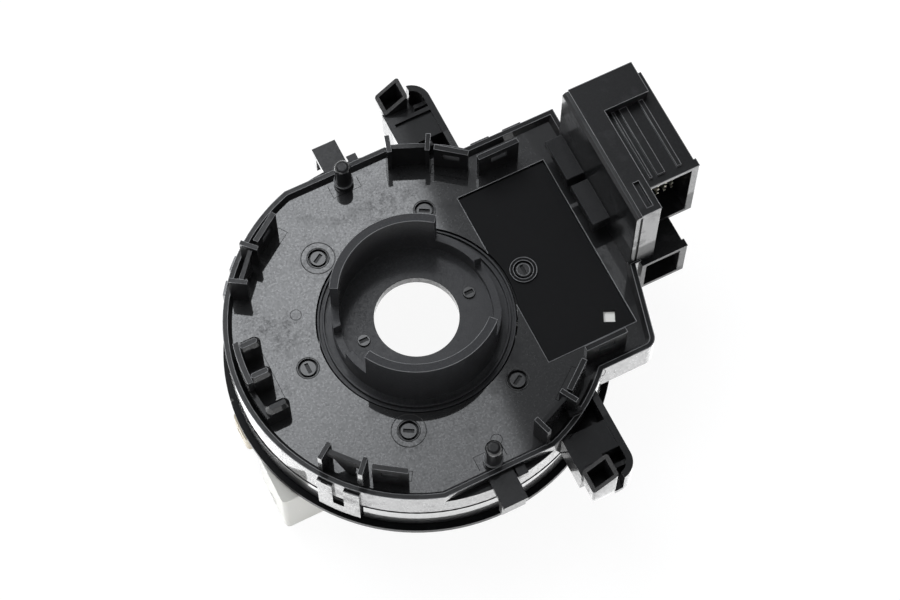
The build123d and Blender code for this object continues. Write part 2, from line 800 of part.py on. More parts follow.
# ---------------------------------------------------------------- rotor case
with BuildPart() as rotor_case:
    # disc with the sleeve that the cable winds round, turned as one profile
    with BuildSketch(Plane.XZ):
        with BuildLine():
            Polyline(
                (sleeve_inner, 0),
                (rotor_radius - rotor_edge, 0),
                (rotor_radius, rotor_edge),
                (rotor_radius, rotor_thickness),
                (labyrinth_radius, rotor_thickness),
                (labyrinth_radius, rotor_thickness + labyrinth_height),
                (labyrinth_radius - labyrinth_wall, rotor_thickness + labyrinth_height),
                (labyrinth_radius - labyrinth_wall, rotor_thickness),
                (rotor_sleeve, rotor_thickness),
                (rotor_sleeve, gear_bottom),
                (sleeve_inner, gear_bottom),
                close=True,
            )
        make_face()
    revolve(axis=Axis.Z)
    # bosses for the two hub screws, each on a web from the sleeve
    with BuildSketch(Plane.XY.offset(rotor_thickness)):
        with PolarLocations((hub_screw_place + rotor_sleeve - sleeve_wall / 2) / 2, 2):
            Rectangle(rotor_sleeve - sleeve_wall / 2 - hub_screw_place, hub_web)
        with PolarLocations(hub_screw_place, 2):
            Circle(hub_boss_radius)
    extrude(amount=gear_bottom - rotor_thickness)
    with BuildSketch(Plane.XY.offset(gear_bottom)):
        with PolarLocations(hub_screw_place, 2):
            Circle(hub_boss_radius)
    extrude(amount=cam_floor_bottom - gear_bottom)
    with BuildSketch(Plane.XY.offset(cam_floor_bottom)):
        with PolarLocations(hub_screw_place, 2):
            Circle(screw_shank)
    extrude(amount=-screw_length, mode=Mode.SUBTRACT)
    # alignment notch in the disc's edge
    with Locations(polar(rotor_radius, rotor_notch_angle)):
        Box(2 * rotor_notch, rotor_notch, 2 * rotor_thickness, mode=Mode.SUBTRACT)
rotor_case.part.label = "rotor_case"
export_step(rotor_case.part, "parts/rotor_case.step")

# ---------------------------------------------------------------- cancel cam
with BuildPart() as cancel_cam:
    # cup with the shaft bore and a collar of two fine rings, turned as one profile at the
    # height of the low wall
    collar_base = collar_top - collar_groove
    inner_ring = collar_radius - collar_ring - collar_ring_gap
    with BuildSketch(Plane.XZ):
        with BuildLine():
            Polyline(
                (shaft_bore, cam_floor_top - bore_depth),
                (shaft_bore + bore_wall, cam_floor_top - bore_depth),
                (shaft_bore + bore_wall, cam_floor_bottom),
                (cam_outer - cam_wall, cam_floor_bottom),
                (cam_outer - cam_wall, gear_bottom),
                (cam_outer, gear_bottom),
                (cam_outer, collar_top - collar_thickness),
                (collar_radius, collar_top - collar_thickness),
                (collar_radius, collar_top),
                (collar_radius - collar_ring, collar_top),
                (collar_radius - collar_ring, collar_base),
                (inner_ring, collar_base),
                (inner_ring, collar_top),
                (inner_ring - collar_ring, collar_top),
                (inner_ring - collar_ring, collar_base),
                (cam_outer, collar_base),
                (cam_outer, cam_low_top),
                (cam_outer - cam_wall, cam_low_top),
                (cam_outer - cam_wall, cam_floor_top),
                (shaft_bore, cam_floor_top),
                close=True,
            )
        make_face()
    revolve(axis=Axis.Z)
    # the two raised cams that push the indicator lever back
    for start, sweep_angle, lobe_height in cam_lobes:
        with BuildSketch(Plane.XY.offset(cam_floor_top)):
            with BuildLine():
                CenterArc((0, 0), cam_outer, start, sweep_angle)
                CenterArc((0, 0), cam_outer - cam_wall, start, sweep_angle)
                Line(polar(cam_outer, start).position, polar(cam_outer - cam_wall, start).position)
                Line(
                    polar(cam_outer, start + sweep_angle).position,
                    polar(cam_outer - cam_wall, start + sweep_angle).position,
                )
            make_face()
        extrude(amount=plate_top + lobe_height - cam_floor_top)
    # gaps in the low wall between the cams
    for start, sweep_angle in cam_gaps:
        with BuildSketch(Plane.XY.offset(plate_top + cam_gap_lift)):
            with Locations(polar(cam_outer, start + sweep_angle / 2)):
                Rectangle(3 * cam_wall, 2 * cam_outer * sin(radians(sweep_angle / 2)))
        extrude(amount=cam_low_top - plate_top, mode=Mode.SUBTRACT)
    # screw holes in the floor
    with BuildSketch(Plane.XY.offset(cam_floor_top)):
        with PolarLocations(hub_screw_place, 2):
            Circle(screw_shank + axle_gap)
    extrude(amount=-cam_floor, mode=Mode.SUBTRACT)
cancel_cam.part.label = "cancel_cam"
export_step(cancel_cam.part, "parts/cancel_cam.step")

with BuildPart() as hub_screws:
    with PolarLocations(hub_screw_place, 2):
        with Locations((0, 0, cam_floor_top)):
            Cylinder(hub_screw_head, hub_screw_height, align=(Align.CENTER, Align.CENTER, Align.MIN))
            Cylinder(screw_shank, screw_length, align=(Align.CENTER, Align.CENTER, Align.MAX))
        with Locations((0, 0, cam_floor_top + hub_screw_height)):
            Box(screw_slot_share * hub_screw_head, screw_slot, screw_slot, mode=Mode.SUBTRACT)
hub_screws.part.label = "hub_screws"
export_step(hub_screws.part, "parts/hub_screws.step")

# ---------------------------------------------------------------- gears of the angle sensor
with BuildPart() as drive_gear:
    with BuildSketch(Plane.XY.offset(gear_bottom)):
        add(gear_profile(drive_teeth, cam_outer + axle_gap))
    extrude(amount=gear_thickness)
drive_gear.part.label = "drive_gear"
export_step(drive_gear.part, "parts/drive_gear.step")

for name, teeth, axle, side in (
    ("a", gear_a_teeth, gear_places[0], 1),
    ("b", gear_b_teeth, gear_places[1], -1),
):
    with BuildPart() as sensor_gear:
        # a tooth gap faces the drive gear's tooth on the line of centres
        with BuildSketch(Plane.XY.offset(gear_bottom)):
            first_tooth = side * gear_angle + 180 - 180 / teeth
            with Locations(Location((axle[0], axle[1], 0), (0, 0, first_tooth))):
                add(gear_profile(teeth, axle_radius + axle_gap))
        extrude(amount=gear_thickness)
        # hub that holds the magnet above the axle's end
        with BuildSketch(Plane.XY.offset(gear_top)):
            with Locations(axle):
                Circle(magnet_radius + magnet_rim)
                Circle(magnet_radius, mode=Mode.SUBTRACT)
        extrude(amount=magnet_height)
    sensor_gear.part.label = "sensor_gear_" + name
    export_step(sensor_gear.part, "parts/sensor_gear_" + name + ".step")
    with BuildPart() as magnet:
        with BuildSketch(Plane.XY.offset(gear_top)):
            with Locations(axle):
                Circle(magnet_radius)
        extrude(amount=magnet_height)
    magnet.part.label = "magnet_" + name
    export_step(magnet.part, "parts/magnet_" + name + ".step")

# ---------------------------------------------------------------- flat cable
with BuildPart() as flat_cable:
    # spiral of half turns, struck in turn from two centres half a step apart
    cable_step = (cable_outer - cable_inner) / cable_turns
    with BuildSketch(Plane.XY.offset(cable_bottom)):
        with BuildLine():
            for half_turn in range(2 * cable_turns):
                centre_x = cable_step / 4 * (1 if half_turn % 2 else -1)
                radius = cable_inner + cable_step / 4 + half_turn * cable_step / 2
                CenterArc((centre_x, 0), radius, 180 * (half_turn % 2), 180)
        trace(line_width=cable_thickness)
    extrude(amount=cable_top - cable_bottom)
flat_cable.part.label = "flat_cable"
export_step(flat_cable.part, "parts/flat_cable.step")

# ---------------------------------------------------------------- connector block
with BuildPart() as connector_block:
    with BuildSketch(Plane.XY.offset(plate_top)):
        with Locations(((block_start + block_end) / 2, (block_low_y + block_high_y) / 2)):
            Rectangle(block_width, block_high_y - block_low_y)
    extrude(amount=block_height)
    with BuildSketch(Plane.XY.offset(head_bottom)):
        with Locations(((block_start + head_reach) / 2, (head_low_y + block_high_y) / 2)):
            Rectangle(head_reach - block_start, block_high_y - head_low_y)
    extrude(amount=head_height)
    # stepped and bevelled strip along the edge that faces the hub
    with Locations((block_start, (block_low_y + block_high_y) / 2, block_top)):
        Box(
            2 * block_strip,
            block_high_y - block_low_y,
            2 * block_strip_depth,
            mode=Mode.SUBTRACT,
        )
    strip_edge = edges().filter_by(Axis.Y).filter_by_position(
        Axis.X, block_start - block_seam, block_start + block_seam
    )
    chamfer(strip_edge.sort_by(Axis.Z)[-1], block_edge)
    # hollow, open to the sensor box below
    with BuildSketch(Plane.XY.offset(plate_top)):
        with Locations(((block_start + block_end) / 2, (block_low_y + block_high_y) / 2)):
            Rectangle(block_width - 2 * block_wall, block_high_y - block_low_y - 2 * block_wall)
    extrude(amount=block_height - 2 * block_wall, mode=Mode.SUBTRACT)
    # slot in the outer face, and a seam down the near end
    with BuildSketch(Plane.XY.offset(block_top)):
        with Locations((block_end - block_slot_inset, block_slot_y)):
            Rectangle(block_slot_width, block_slot_length)
    extrude(amount=-block_slot_depth, mode=Mode.SUBTRACT)
    with Locations((block_start + block_strip, block_low_y, plate_top)):
        Box(
            block_seam,
            2 * block_seam,
            2 * (block_height - block_wall),
            mode=Mode.SUBTRACT,
        )
    # two guide rails on the wall facing the hub, each with a stop at its lower end
    for step in (0, 1):
        rail_start = block_high_y - rail_inset - step * (rail_length + rail_gap)
        rail_top = rail_bottom + rail_height
        with Locations((block_start, rail_start - rail_length / 2, rail_top)):
            Box(rail_width, rail_length, rail_height, align=(Align.MAX, Align.CENTER, Align.MAX))
        with Locations((block_start, rail_start - rail_length, rail_top)):
            Box(rail_width, rail_stop, rail_stop_height, align=(Align.MAX, Align.MIN, Align.MAX))
connector_block.part.label = "connector_block"
export_step(connector_block.part, "parts/connector_block.step")

# ---------------------------------------------------------------- plug shrouds and terminals
# each entry: name, x from, x to, y of the mouth, y of the back, z from, z to, pin columns and
# rows, and the place and width of each rib on the outer face, from the block outwards
shrouds = (
    (
        "upper", block_end, upper_reach, upper_mouth_y, upper_back_y, plate_top, head_bottom,
        5, 6, ((2.6, 0.7), (5.6, 2.2), (11.0, 1.2)),
    ),
    (
        "lower", box_reach, lower_reach, lower_mouth_y, lower_back_y, lower_bottom, plate_top,
        4, 4, (),
    ),
)
for name, x_from, x_to, mouth_y, back_y, z_from, z_to, columns, rows, ribs in shrouds:
    centre_x = (x_from + x_to) / 2
    centre_z = (z_from + z_to) / 2
    with BuildPart() as shroud:
        with Locations((centre_x, mouth_y, centre_z)):
            Box(
                x_to - x_from,
                back_y - mouth_y,
                z_to - z_from,
                align=(Align.CENTER, Align.MIN, Align.CENTER),
            )
        # lip round the free side of the mouth
        with Locations((x_to + lip_height, mouth_y, z_from)):
            Box(2 * shroud_wall, lip_length, z_to - z_from, align=(Align.MAX, Align.MIN, Align.MIN))
        # ribs along the outer face
        for rib_place, rib_width in ribs:
            with Locations((x_from + rib_place, mouth_y + lip_length, z_to)):
                Box(
                    rib_width,
                    head_low_y - mouth_y - lip_length,
                    2 * shroud_rib_height,
                    align=(Align.CENTER, Align.MIN, Align.CENTER),
                )
        with Locations((centre_x, mouth_y, centre_z)):
            Box(
                x_to - x_from - 2 * shroud_wall,
                socket_depth,
                z_to - z_from - 2 * shroud_wall,
                align=(Align.CENTER, Align.MIN, Align.CENTER),
                mode=Mode.SUBTRACT,
            )
    shroud.part.label = name + "_shroud"
    export_step(shroud.part, "parts/" + name + "_shroud.step")
    with BuildPart() as terminals:
        with Locations((centre_x, mouth_y + socket_depth, centre_z)):
            with Locations(Plane.XZ):
                with GridLocations(terminal_pitch, terminal_pitch, columns, rows):
                    Box(
                        terminal_size,
                        terminal_size,
                        terminal_length,
                        align=(Align.CENTER, Align.CENTER, Align.MIN),
                    )
    terminals.part.label = name + "_terminals"
    export_step(terminals.part, "parts/" + name + "_terminals.step")

# ---------------------------------------------------------------- wheel-side connectors
# each entry: name, centre x and y, length along X, width along Y, depth, pin columns, pin rows
front_connectors = (
    ("airbag", airbag_x, airbag_y, airbag_length, airbag_width, airbag_depth, 2, 3),
    ("switch", switch_x, switch_y, switch_length, switch_width, switch_depth, 4, 2),
)
for name, centre_x, centre_y, length, width, depth, columns, rows in front_connectors:
    with BuildPart() as connector:
        with BuildSketch(Plane.XY):
            with Locations((centre_x, centre_y)):
                RectangleRounded(length, width, front_wall)
        extrude(amount=-depth)
        with BuildSketch(Plane.XY.offset(-depth)):
            with Locations((centre_x, centre_y)):
                RectangleRounded(length - 2 * front_wall, width - 2 * front_wall, front_wall / 2)
        extrude(amount=depth - front_base, mode=Mode.SUBTRACT)
        # latch window in the outer wall
        with Locations((centre_x - length / 2, centre_y, front_slot_lift - depth)):
            Box(
                2 * front_wall,
                front_slot_length,
                front_slot_height,
                align=(Align.CENTER, Align.CENTER, Align.MIN),
                mode=Mode.SUBTRACT,
            )
    connector.part.label = name + "_connector"
    export_step(connector.part, "parts/" + name + "_connector.step")
    with BuildPart() as terminals:
        with Locations((centre_x, centre_y, -front_base)):
            with GridLocations(terminal_pitch, terminal_pitch, columns, rows):
                Box(
                    terminal_size,
                    terminal_size,
                    depth / 2,
                    align=(Align.CENTER, Align.CENTER, Align.MAX),
                )
    terminals.part.label = name + "_terminals"
    export_step(terminals.part, "parts/" + name + "_terminals.step")

# ---------------------------------------------------------------- cable end holders
with BuildPart() as inner_cable_holder:
    with BuildSketch(Plane.XY.offset(cable_bottom)):
        Circle(cable_inner - holder_gap)
        Circle(rotor_sleeve, mode=Mode.SUBTRACT)
        with Locations((0, -cable_inner)):
            Rectangle(holder_length, cable_inner, mode=Mode.INTERSECT)
    extrude(amount=cable_top - cable_bottom)
inner_cable_holder.part.label = "inner_cable_holder"
export_step(inner_cable_holder.part, "parts/inner_cable_holder.step")

with BuildPart() as outer_cable_holder:
    with BuildSketch(Plane.XY.offset(cable_bottom + labyrinth_height)):
        Circle(housing_inner)
        Circle(cable_outer + holder_gap, mode=Mode.SUBTRACT)
        with Locations((cable_outer, 0)):
            Rectangle(cable_outer, holder_length, mode=Mode.INTERSECT)
    extrude(amount=partition_bottom - cable_bottom - labyrinth_height)
outer_cable_holder.part.label = "outer_cable_holder"
export_step(outer_cable_holder.part, "parts/outer_cable_holder.step")
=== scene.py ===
import json
import math

import bmesh
import bpy
from bpy.props import FloatProperty, FloatVectorProperty, PointerProperty
from mathutils import Matrix, Vector


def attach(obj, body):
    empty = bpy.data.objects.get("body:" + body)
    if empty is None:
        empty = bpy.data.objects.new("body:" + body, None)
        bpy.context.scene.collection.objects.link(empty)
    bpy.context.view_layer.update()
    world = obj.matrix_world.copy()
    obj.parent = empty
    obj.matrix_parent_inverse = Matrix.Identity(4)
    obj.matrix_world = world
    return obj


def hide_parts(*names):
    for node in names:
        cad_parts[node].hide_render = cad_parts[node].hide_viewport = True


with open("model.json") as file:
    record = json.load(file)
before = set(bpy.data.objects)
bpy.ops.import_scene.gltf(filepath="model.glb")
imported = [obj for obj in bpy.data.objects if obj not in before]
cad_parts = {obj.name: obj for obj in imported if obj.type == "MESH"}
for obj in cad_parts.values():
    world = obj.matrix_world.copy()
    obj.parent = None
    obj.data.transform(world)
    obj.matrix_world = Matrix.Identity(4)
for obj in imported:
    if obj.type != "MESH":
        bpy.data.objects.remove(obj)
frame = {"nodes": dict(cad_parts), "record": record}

bl_info = {
    "name": "Steering clock spring",
    "version": (1, 0, 0),
    "blender": (4, 5, 0),
    "location": "View3D > Sidebar > Clock spring",
    "description": "Finishes, small moulded details and stage for a steering clock spring",
    "category": "Object",
}

# width of the rounded edges on the black mouldings and screws, in millimetres
EDGE_WIDTHS = {
    "rear_case": 0.22,
    "cable_housing": 0.12,
    "rotor_case": 0.12,
    "cancel_cam": 0.6,
    "connector_block": 0.22,
    "upper_shroud": 0.16,
    "lower_shroud": 0.16,
    "sensor_lid": 0.08,
    "case_screws": 0.1,
    "hub_screws": 0.1,
}

SHARP_ANGLE = math.radians(35)  # edges sharper than this are rounded
HIGHLIGHT_ANGLE = math.radians(30)  # edges sharper than this get a painted highlight line
LEVEL_TOLERANCE = 0.02  # millimetres
WIRE_SIDES = 8
RING_SIDES = 96

# places and sizes of the fixed details, in millimetres and degrees
PLATE_TOP = 21.5
PLATE_BAND = 0.2  # up and down from the plate's top, where its polish ends
FLAT_HALF_WIDTH = 46.904
BOX_START = 51.5
ARM_START = 51.962
CASE_SLOT_TOP = 21.2
HUB_SLOTS = (22.5, 22.8)  # bottom and top
RAIL_TOP = 31.5
CUP_TOP = 37.5
SEAM_HEIGHT = 12.2
SEAM_RADIUS = 51.5
SCREW_CIRCLE = 32.0
SCREW_ANGLES = (0, 60, 120, 180, 240, 300)
RINGED_SCREWS = (120, 240)
LATCH_CIRCLE = 44.4
LATCH_ANGLES = (52.0, 124.5, -52.0, -124.5)
LID_HIGHLIGHT_RINGS = ((3.65, 21.42), (2.75, 21.42), (1.75, 21.38))  # radius and height of the pale grey rings that paint highlights round the lid's screw
LID_BEAD = (25.6, 52.0, 27.0, 8.4)  # inner end, outer end, half width, half gap at the hub
EJECTOR_MARKS = ((-28.4, 15.3), (3.4, -40.2), (36.5, -35.2))
ROTOR_RINGS = (31.0, 49.5)
ROTOR_MARK_CIRCLE = 36.0
ROTOR_MARK_ANGLES = tuple(15 + 45 * step for step in range(8))
# corners of the witness lines, in plan
PEG_LINES = ((-4.4, 46.0), (-4.4, 42.0), (3.9, 42.0), (3.9, 45.2))
FINGER_LINES = ((-43.7, 9.0), (-41.0, 9.0), (-41.0, -7.2), (-43.7, -7.2))
PORT_ANGLE = -25.5
PORT_PAD = ((51.4, 19.6), (3.1, 3.3, 0.5))  # radius, height and size of the pad in the lid's port
LINE_THICKNESS = 0.16
HIGHLIGHTED_EDGES = (  # node, height of its edges, thickness of the painted highlight line
    ("rear_case", 23.1, 0.24),
    ("rear_case", 31.0, 0.2),
    ("rear_case", 32.0, 0.2),
    ("connector_block", 51.0, 0.24),
    ("cancel_cam", 39.0, 0.2),
    ("upper_shroud", 47.0, 0.24),
    ("upper_shroud", 47.8, 0.24),
    ("lower_shroud", 21.5, 0.24),
)
SMUDGES = (  # place and radius of each scuffed patch on the end plate
    (-16.2, 27.9, 7.0),
    (-33.5, 11.5, 7.5),
    (-16.5, -30.5, 6.5),
    (6.0, 34.0, 9.0),
    (-38.0, 18.0, 5.0),
)

# shares of the polish: what the dull places keep, and what the box, arms and scuffs lose
UNPOLISHED = 0.15
BOX_DULLING = 0.42
ARM_DULLING = 0.4
SCUFF_DULLING = 0.9

# stage, in metres, degrees and watts
OBJECT_MIDDLE = (0.0109, 0.002, 0.0185)
FLOOR_HEIGHT = -0.0202
FLOOR_RADIUS = 1.6
BACKDROP_HEIGHT = 0.9
GLOSSY_RADIUS = 0.13
GLOSSY_FADE = 0.04
PANEL_DISTANCE = 1.0
# directions along the panel and from the object to it
PANEL_RIGHT = (0.894, -0.447, 0.0)
PANEL_UP = (0.18, 0.36, 0.915)
PANEL_REACH = (-0.62, 0.14)  # from the panel's middle, to its left and right edge
PANEL_HALF_HEIGHT = 0.42
PANEL_STRENGTH = 5.3
PANEL_FADES = (  # direction on the panel, start, stop, and what is left past the stop
    ((0.8, -0.6), -0.1, 0.1, 0.44),
    ((0.936, 0.35), 0.003, 0.017, 0.12),
)
FILL_DIRECTION = (-0.75, -0.45, 0.45)
FILL_DISTANCE = 1.1
FILL_SIZE = 0.6
FILL_POWER = 1.2
CAMERA_TARGET = (0.01091, 0.00198, 0.0185)
CAMERA_DISTANCE = 0.67168
CAMERA_AZIMUTH = -26.58
CAMERA_ELEVATION = 66.24
CAMERA_LENS = 100.0
CAMERA_SENSOR = 36.0


# ------------------------------------------------------------------ sizes and colours
class ClockSpringSizes(bpy.types.PropertyGroup):
    """Sizes and colours of the clock spring's finishes."""

    black: FloatVectorProperty(
        name="Moulding black",
        description="Colour of the glass-filled black mouldings",
        subtype="COLOR",
        size=3,
        min=0.0,
        max=1.0,
        default=(0.008, 0.0081, 0.0087),
    )
    cream: FloatVectorProperty(
        name="Connector cream",
        description="Colour of the airbag lead's connector",
        subtype="COLOR",
        size=3,
        min=0.0,
        max=1.0,
        default=(0.8, 0.79, 0.74),
    )
    beige: FloatVectorProperty(
        name="Connector beige",
        description="Colour of the wheel switches' connector",
        subtype="COLOR",
        size=3,
        min=0.0,
        max=1.0,
        default=(0.72, 0.64, 0.5),
    )
    polish: FloatProperty(
        name="Plate roughness",
        description="Roughness of the polished end plate",
        default=0.045,
        min=0.02,
        max=0.8,
    )


# ------------------------------------------------------------------ shader building
class Socket:
    """An output socket whose sums, products and differences become Math nodes."""

    def __init__(self, tree, socket):
        self.tree = tree
        self.socket = socket

    def join(self, operation, first, second, clamp=False):
        node = self.tree.nodes.new("ShaderNodeMath")
        node.operation = operation
        node.use_clamp = clamp
        for slot, value in zip(node.inputs, (first, second)):
            place(self.tree, slot, value)
        return Socket(self.tree, node.outputs[0])

    def __add__(self, other):
        return self.join("ADD", self, other)

    __radd__ = __add__

    def __mul__(self, other):
        return self.join("MULTIPLY", self, other)

    __rmul__ = __mul__

    def __sub__(self, other):
        return self.join("SUBTRACT", self, other)

    def __rsub__(self, other):
        return self.join("SUBTRACT", other, self)

    def larger(self, other):
        return self.join("MAXIMUM", self, other)

    def above(self, edge, softness):
        """0 well below the edge and 1 well above it."""
        return self.join("MULTIPLY", self - (edge - softness), 0.5 / softness, clamp=True)


def place(tree, slot, value):
    """Links a socket to an input, or sets the input's value."""
    if isinstance(value, Socket):
        tree.links.new(value.socket, slot)
    else:
        slot.default_value = value


class Graph:
    """A node tree under construction."""

    def __init__(self, tree):
        self.tree = tree
        tree.nodes.clear()

    def node(self, kind, settings=None, output=0, **values):
        """Adds a node, sets its settings and its sockets, and returns one of its outputs.

        A socket goes by its name, with _ for a space, or by its place, as i0 or i6.
        """
        node = self.tree.nodes.new(kind)
        for key, value in (settings or {}).items():
            setattr(node, key, value)
        for key, value in values.items():
            slot = node.inputs[int(key[1:])] if key[0] == "i" and key[1:].isdigit() else None
            place(self.tree, slot or node.inputs[key.replace("_", " ")], value)
        return Socket(self.tree, node.outputs[output])

    def finish(self, surface, kind="ShaderNodeOutputMaterial"):
        out = self.tree.nodes.new(kind)
        self.tree.links.new(surface.socket, out.inputs["Surface"])


def new_material(name):
    """An empty material and its graph."""
    material = bpy.data.materials.new(name)
    material.use_nodes = True
    return material, Graph(material.node_tree)


def rgba(colour):
    return (*colour, 1.0)


def coordinate(graph, at, axis):
    """One coordinate of a vector, by the letter of its axis."""
    return graph.node("ShaderNodeSeparateXYZ", output="XYZ".index(axis), Vector=at)


def blend(graph, factor, first, second):
    """The first colour at factor 0, the second at 1."""
    return graph.node(
        "ShaderNodeMix", {"data_type": "RGBA"}, output=2, i0=factor, i6=first, i7=second
    )


def grey(level):
    return rgba((level, level, level))


def noise(shader, at, size, detail=3.0, roughness=0.5):
    """Fractal noise from 0 to 1, with features of about that size in metres."""
    return shader.node(
        "ShaderNodeTexNoise",
        Vector=at,
        Scale=1.0 / size,
        Detail=detail,
        Roughness=roughness,
    )


def plate_mask(shader, at):
    """1 on the end plate, the walls and the rounded edges, 0 on the tops of clips and arms."""
    across = coordinate(shader, at, "Y")
    height = coordinate(shader, at, "Z")
    outward = coordinate(shader, at, "X")
    top = PLATE_TOP / 1000
    over_lower = height.above(top - PLATE_BAND / 1000, softness=0.0001)
    level = over_lower - height.above(top + PLATE_BAND / 1000, softness=0.0001)
    level = level * (1.0 - outward.above(BOX_START / 1000, softness=0.0008) * BOX_DULLING)
    past_flats = (across * across).above((FLAT_HALF_WIDTH / 1000) ** 2, softness=0.00001)
    plate = level - past_flats * level
    facing = shader.node("ShaderNodeNewGeometry", output=1)
    upright = coordinate(shader, facing, "Z")
    walls = 1.0 - (upright * upright).above(0.8, softness=0.1)
    on_arms = (across * across).above((ARM_START / 1000) ** 2, softness=0.0001)
    return plate.larger(walls * (1.0 - on_arms * ARM_DULLING))


def moulding(
    name,
    colour,
    roughness,
    coat,
    coat_ior=2.0,
    cloud=0.0,
    grain=0.02,
    specular=0.5,
    polished=None,
    speck=0.16,
    sandy=0.0,
):
    """Moulded plastic: a polish with clouds and sandy specks, and a scatter of pale dust.

    coat is the roughness of the polish, and 0 leaves it out. cloud, speck and sandy are the
    strengths of worn patches, of specks in the polish and of pale specks in the colour, and
    polished is the mask of the places that keep the polish.
    """
    material, shader = new_material(name)
    at = shader.node("ShaderNodeTexCoord", output=3)
    shine = 1.0
    if polished:
        shine = polished(shader, at) * (1.0 - UNPOLISHED) + UNPOLISHED
    if polished == plate_mask:
        scuff = noise(shader, at, size=0.0016, detail=5.0, roughness=0.75).above(0.53, 0.07)
        scratch = noise(shader, at, size=0.0007, detail=3.0, roughness=0.8)
        shine = shine * (1.0 - scuff * smudges(shader, at) * scratch * SCUFF_DULLING)
    wear = noise(shader, at, size=0.011, detail=6.0, roughness=0.65).above(0.63, 0.08) * cloud
    dust = noise(shader, at, size=0.0006, detail=2.0, roughness=0.7).above(0.74, 0.03)
    speckle = noise(shader, at, size=0.0006, detail=2.0, roughness=0.8).above(0.5, 0.22)
    pale = rgba([c * 4 + 0.02 for c in colour])
    tint = blend(shader, dust * 0.4 + wear + speckle * sandy, rgba(colour), pale)
    sand = noise(shader, at, size=0.0005, detail=2.0, roughness=0.6)
    soft = noise(shader, at, size=0.006, detail=2.0)
    bump = shader.node(
        "ShaderNodeBump",
        Strength=grain,
        Distance=0.0003,
        Height=sand * 0.5 + soft * 0.5,
    )
    plastic = shader.node(
        "ShaderNodeBsdfPrincipled",
        Base_Color=tint,
        Roughness=speckle * 0.1 + (wear + roughness),
        Specular_IOR_Level=specular,
        Coat_Weight=((1.0 - speckle * speck) - wear) * shine if coat else 0.0,
        Coat_Roughness=coat,
        Coat_IOR=coat_ior,
        Normal=bump,
    )
    shader.finish(plastic)
    return material


def metal(name, colour, roughness):
    """Bare metal with a slight mottle in its polish."""
    material, shader = new_material(name)
    at = shader.node("ShaderNodeTexCoord", output=3)
    mottle = noise(shader, at, size=0.001, detail=2.0)
    shader.finish(
        shader.node(
            "ShaderNodeBsdfPrincipled",
            Base_Color=rgba(colour),
            Metallic=1.0,
            Roughness=mottle * 0.15 + roughness,
        )
    )
    return material


def cup_mask(shader, at):
    """1 on the floor of the cancel cam and its collar, 0 on the tops of its cams."""
    return 1.0 - coordinate(shader, at, "Z").above(CUP_TOP / 1000, softness=0.001)


def rail_mask(shader, at):
    """0 on the block's rails and below them, 1 above."""
    return coordinate(shader, at, "Z").above(RAIL_TOP / 1000, softness=0.0005)


def slot_shade_mask(shader, at):
    """0 in the slots of the screws, where the polish is taken away so they read dark as painted
    shade, 1 on their heads.
    """
    height = coordinate(shader, at, "Z")
    case_slots = 1.0 - height.above(CASE_SLOT_TOP / 1000, softness=0.0001)
    bottom, top = HUB_SLOTS
    over_bottom = height.above(bottom / 1000, softness=0.0001)
    hub_slots = over_bottom - height.above(top / 1000, softness=0.0001)
    return 1.0 - case_slots - hub_slots


def smudges(shader, at):
    """1 in the middle of each smudge on the end plate, fading to 0 at its edge."""
    total = 0.0
    for x, y, radius in SMUDGES:
        away = shader.node(
            "ShaderNodeVectorMath",
            {"operation": "DISTANCE"},
            output=1,
            i0=at,
            i1=(x / 1000, y / 1000, PLATE_TOP / 1000),
        )
        near = 1.0 - away.above(radius * 0.0007, radius * 0.0004)
        total = total + near
    return total


def finish_materials():
    """The finishes by name."""
    sizes = bpy.context.scene.clock_spring
    black = sizes.black
    return {
        "case": moulding(
            "case_black",
            black,
            0.4,
            coat=sizes.polish,
            coat_ior=1.7,
            cloud=0.3,
            grain=0.06,
            specular=0.16,
            polished=plate_mask,
            speck=0.55,
        ),
        "lid": moulding("lid_black", black, 0.5, coat=0.0, grain=0.1, specular=0.08),
        "cam": moulding(
            "cam_black",
            [c * 3 for c in black],
            0.45,
            coat=0.16,
            coat_ior=1.3,
            grain=0.12,
            specular=0.14,
            speck=0.9,
            sandy=0.25,
            polished=cup_mask,
        ),
        "rotor": moulding("rotor_black", black, 0.35, coat=0.0, grain=0.02, specular=0.08),
        "housing": moulding(
            "housing_black", black, 0.3, coat=0.05, coat_ior=1.65, grain=0.03, specular=0.15
        ),
        "block": moulding(
            "block_black",
            black,
            0.35,
            coat=0.12,
            coat_ior=1.3,
            cloud=0.5,
            grain=0.1,
            specular=0.15,
            speck=0.5,
            sandy=0.15,
            polished=rail_mask,
        ),
        # pale grey that paints highlights: lines along top edges, the bead round the lid and the
        # rings round the lid's screw
        "edge": moulding("painted_highlight_grey", (0.13, 0.132, 0.137), 0.3, coat=0.1, coat_ior=1.5, grain=0.02),
        # very dark matte black for the witness lines and ejector marks, and for the ring of painted
        # shade at the seam
        "line": moulding("line_black", [c * 0.4 for c in black], 0.7, coat=0.0, specular=0.02),
        "pin": moulding(
            "pin_black",
            black,
            0.4,
            coat=0.12,
            coat_ior=1.5,
            grain=0.04,
            specular=0.2,
            # the polish taken out of the slots is painted shade
            polished=slot_shade_mask,
        ),
        "cream": moulding("connector_cream", sizes.cream, 0.4, coat=0.0, grain=0.03, specular=0.2),
        "beige": moulding("connector_beige", sizes.beige, 0.4, coat=0.0, grain=0.03, specular=0.2),
        "acetal": moulding("natural_acetal", (0.8, 0.79, 0.75), 0.4, coat=0.0, grain=0.02),
        "film": moulding("cable_film", (0.7, 0.66, 0.58), 0.3, coat=0.0, grain=0.01),
        "board": moulding("circuit_board", (0.02, 0.14, 0.06), 0.35, coat=0.0, grain=0.03),
        "magnet": moulding("magnet_ferrite", (0.08, 0.08, 0.085), 0.5, coat=0.0, grain=0.05),
        "brass": metal("terminal_tin", (0.78, 0.74, 0.64), 0.25),
    }


